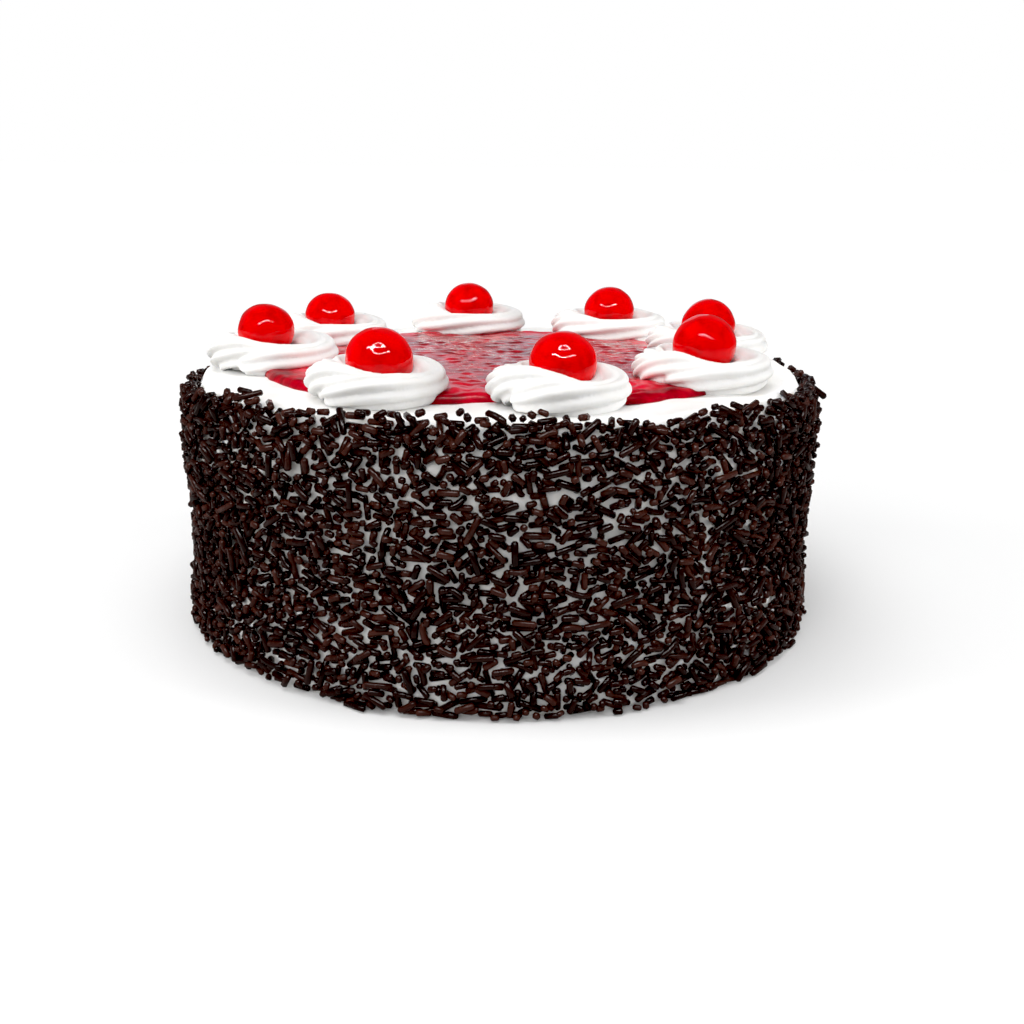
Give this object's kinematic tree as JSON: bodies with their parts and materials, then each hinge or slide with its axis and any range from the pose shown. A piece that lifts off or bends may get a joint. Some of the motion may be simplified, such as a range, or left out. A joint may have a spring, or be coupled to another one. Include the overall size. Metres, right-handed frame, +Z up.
{
  "type": "black forest cake",
  "caption": "Whole round black forest cake: white icing, chocolate sprinkle sides, cherry gel on top, and a ring of piped cream rosettes, each with a candied cherry.",
  "frame": {"origin": "middle of the cake's flat foot, on the surface it stands on", "axes": "+Z up along the cake's axis; -Y towards the side that faces the viewer, between two of the rosettes; +X to the viewer's right"},
  "size_m": [0.2146, 0.2146, 0.1063],
  "materials": {
    "icing": "white cream icing thickly coated with dark chocolate sprinkles",
    "sprinkles": "dark chocolate sprinkles with a soft sheen",
    "gel": "glossy set cherry gel",
    "cream": "soft piped whipped cream",
    "cherry": "glossy candied cherry"
  },
  "bodies": {
    "root": {"iced_cake": "icing", "cherry_gel": "gel", "rosette_1": "cream", "rosette_2": "cream", "rosette_3": "cream", "rosette_4": "cream", "rosette_5": "cream", "rosette_6": "cream", "rosette_7": "cream", "rosette_8": "cream", "cherry_1": "cherry", "cherry_2": "cherry", "cherry_3": "cherry", "cherry_4": "cherry", "cherry_5": "cherry", "cherry_6": "cherry", "cherry_7": "cherry", "cherry_8": "cherry"}
  },
  "joints": []
}
